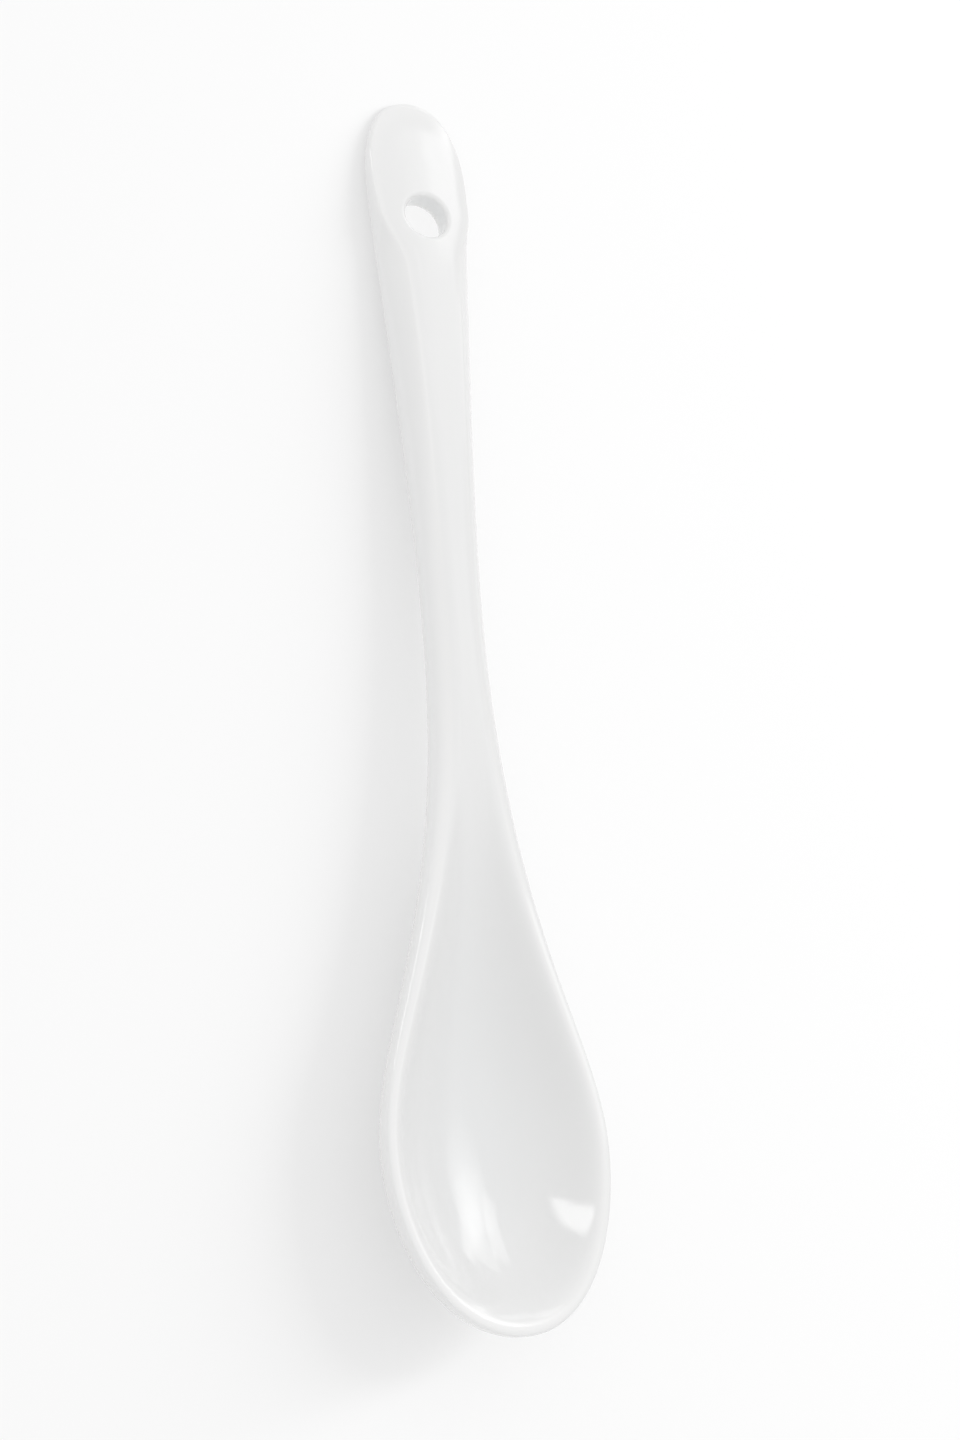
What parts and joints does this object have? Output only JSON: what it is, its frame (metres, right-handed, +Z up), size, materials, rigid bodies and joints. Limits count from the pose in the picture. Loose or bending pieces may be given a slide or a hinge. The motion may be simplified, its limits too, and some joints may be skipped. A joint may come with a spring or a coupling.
{
  "type": "tasting spoon",
  "caption": "White glazed porcelain tasting spoon: egg-shaped bowl with a rounded rim, slim neck, and a flat-fronted handle whose rounded end has a hanging hole.",
  "frame": {"origin": "on the table, under the middle of the spoon's outline, with the spoon lying bowl up", "axes": "+Y along the handle from the bowl tip to the hanging hole, +Z up out of the bowl's mouth, +X to the right"},
  "size_m": [0.0256, 0.135, 0.0118],
  "materials": {
    "glazed_porcelain": "white porcelain under a clear, glossy glaze"
  },
  "bodies": {
    "root": {"bowl": "glazed_porcelain", "neck": "glazed_porcelain", "stem": "glazed_porcelain", "handle_end": "glazed_porcelain"}
  },
  "joints": []
}
